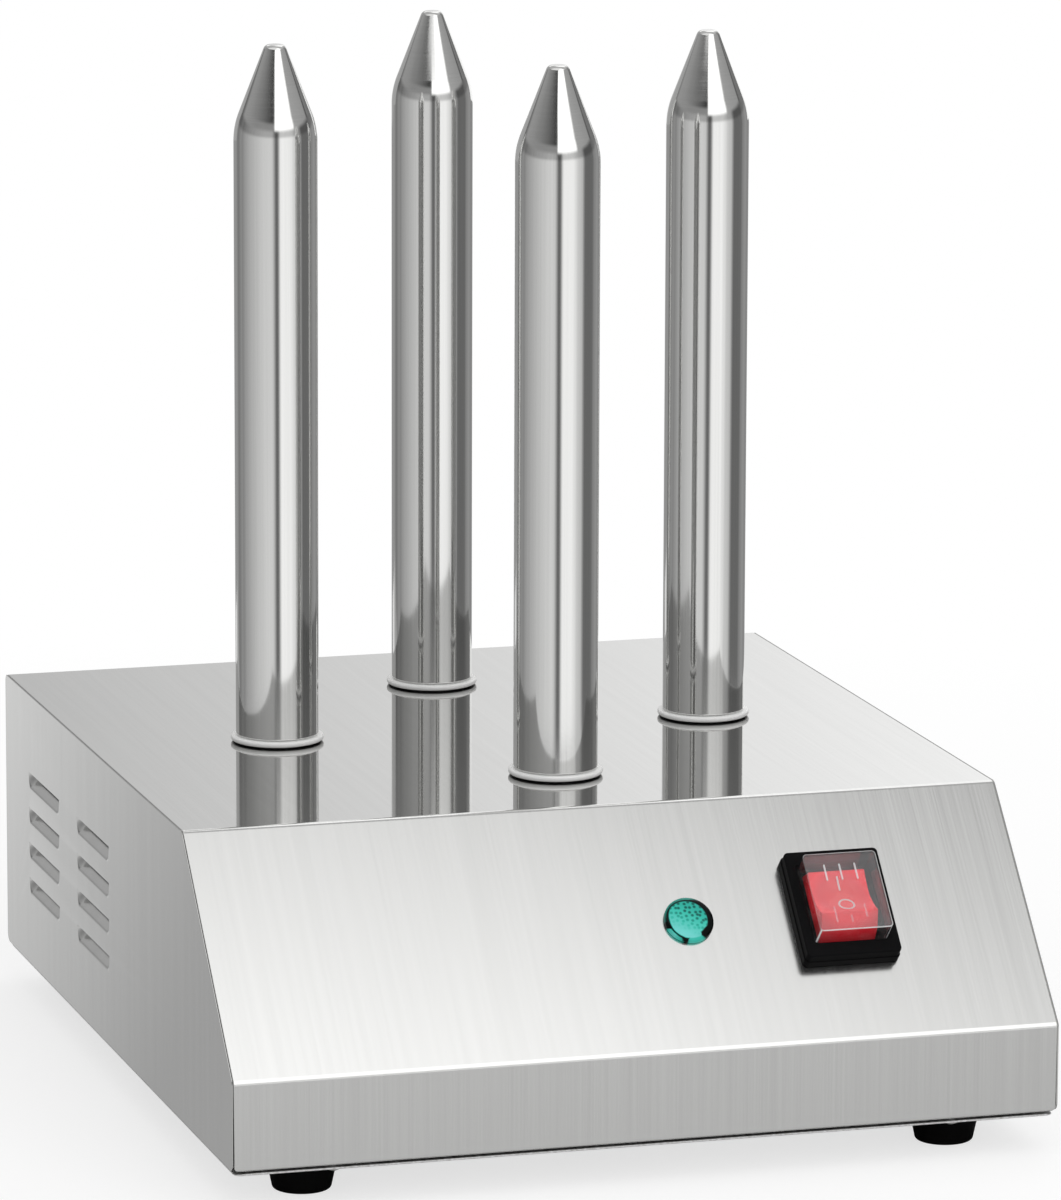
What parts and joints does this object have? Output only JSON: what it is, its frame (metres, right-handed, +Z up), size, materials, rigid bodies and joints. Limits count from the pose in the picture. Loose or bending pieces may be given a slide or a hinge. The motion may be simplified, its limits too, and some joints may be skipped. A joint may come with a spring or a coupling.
{
  "type": "hot dog spike machine",
  "caption": "Countertop warmer for hot dog rolls: a low sloped steel housing with heated upright spikes on its top plate, a pilot lamp and a rocker switch under a clear cover.",
  "frame": {"origin": "on the surface the feet stand on, in the middle of the overall width and depth", "axes": "+Z up, -Y towards the sloped control panel, +X to the right of a person who faces that panel"},
  "size_m": [0.28, 0.3452, 0.3507],
  "materials": {
    "brushed_steel": "satin stainless sheet, fine vertical grain on the front",
    "polished_steel": "polished stainless",
    "rod_sheath": "plain stainless sheath",
    "zinc": "zinc plated steel",
    "brass": "plain brass",
    "black_rubber": "matte moulded rubber",
    "pale_gasket": "translucent white silicone",
    "black_plastic": "satin moulded plastic",
    "red_plastic": "glossy translucent red",
    "clear_plastic": "clear, flexible",
    "green_lens": "clear green",
    "ceramic": "unglazed off-white",
    "grey_polyamide": "dark moulded plastic",
    "wire_cover": "matte sleeve"
  },
  "bodies": {
    "machine": {"housing_wrap": "brushed_steel", "side_panel_left": "brushed_steel", "side_panel_right": "brushed_steel", "base_plate": "brushed_steel", "foot_front_left": "black_rubber", "foot_screw_front_left": "zinc", "foot_nut_front_left": "zinc", "base_screw_front_left": "zinc", "foot_front_right": "black_rubber", "foot_screw_front_right": "zinc", "foot_nut_front_right": "zinc", "base_screw_front_right": "zinc", "foot_rear_left": "black_rubber", "foot_screw_rear_left": "zinc", "foot_nut_rear_left": "zinc", "base_screw_rear_left": "zinc", "foot_rear_right": "black_rubber", "foot_screw_rear_right": "zinc", "foot_nut_rear_right": "zinc", "base_screw_rear_right": "zinc", "spike_front": "polished_steel", "spike_gasket_front": "pale_gasket", "spike_nut_front": "zinc", "heating_rod_front": "rod_sheath", "spike_left": "polished_steel", "spike_gasket_left": "pale_gasket", "spike_nut_left": "zinc", "heating_rod_left": "rod_sheath", "spike_rear": "polished_steel", "spike_gasket_rear": "pale_gasket", "spike_nut_rear": "zinc", "heating_rod_rear": "rod_sheath", "spike_right": "polished_steel", "spike_gasket_right": "pale_gasket", "spike_nut_right": "zinc", "heating_rod_right": "rod_sheath", "switch_surround": "black_plastic", "switch_cover": "clear_plastic", "switch_body": "black_plastic", "switch_blade_upper_left": "brass", "switch_blade_upper_right": "brass", "switch_blade_lower_left": "brass", "switch_blade_lower_right": "brass", "lamp_lens": "green_lens", "lamp_body": "ceramic", "lamp_clip": "zinc", "cable_gland_body": "grey_polyamide", "cable_gland_dome_nut": "grey_polyamide", "cable_gland_locknut": "grey_polyamide", "cable_gland_seal": "black_rubber", "terminal_block": "ceramic", "thermostat": "ceramic", "earth_stud": "brass", "earth_nut": "brass", "wire_feed_live": "wire_cover", "wire_feed_neutral": "wire_cover", "wire_switched_line": "wire_cover", "wire_heater_line": "wire_cover", "wire_heater_return": "wire_cover"},
    "rocker": {"switch_rocker": "red_plastic"}
  },
  "joints": [
    {"name": "rocker_tilt", "type": "hinge", "parent": "machine", "child": "rocker", "pos_m": [0.0743, -0.13742, 0.07627], "axis": [1, 0, 0], "range_deg": [0, 23]}
  ]
}
